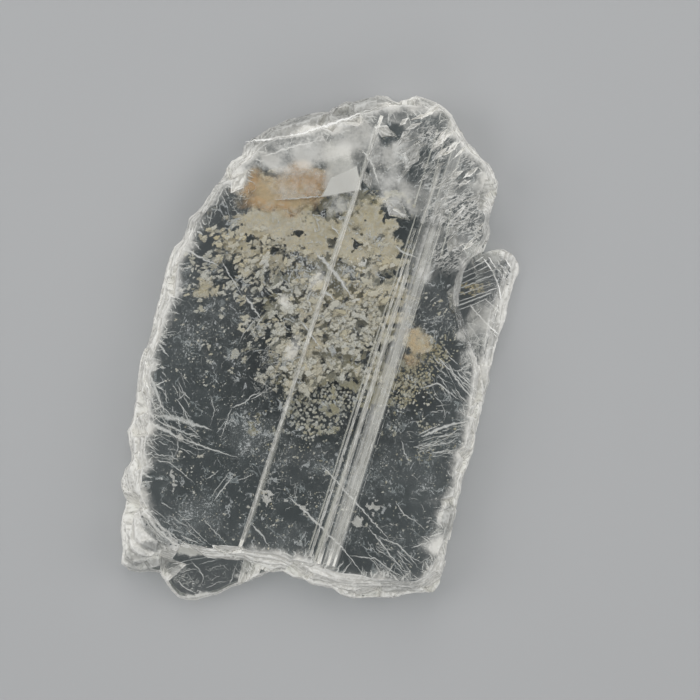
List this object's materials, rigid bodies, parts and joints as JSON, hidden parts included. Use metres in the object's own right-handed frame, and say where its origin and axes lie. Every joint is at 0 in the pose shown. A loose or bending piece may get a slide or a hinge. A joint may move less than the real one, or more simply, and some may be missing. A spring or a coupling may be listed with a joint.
{
  "type": "selenite slab",
  "caption": "Flat clear selenite plate with a frosted stepped rim, a tongue and a striped ledge of deeper sheets, lying on its back face.",
  "frame": {"origin": "centre of the bounding box, on the flat back face that it rests on", "axes": "+X across the slab to the side with the striped ledge, +Y along its length to the hackly end, +Z out of the front cleavage face"},
  "size_m": [0.091, 0.115, 0.0125],
  "materials": {
    "selenite": "clear cleavage faces with a frosted rim",
    "frost": "matt, sugary broken crystal",
    "clay": "matt film of clay between the sheets",
    "iron_stain": "matt rusty stain"
  },
  "bodies": {
    "root": {"slab": "selenite"}
  },
  "joints": []
}
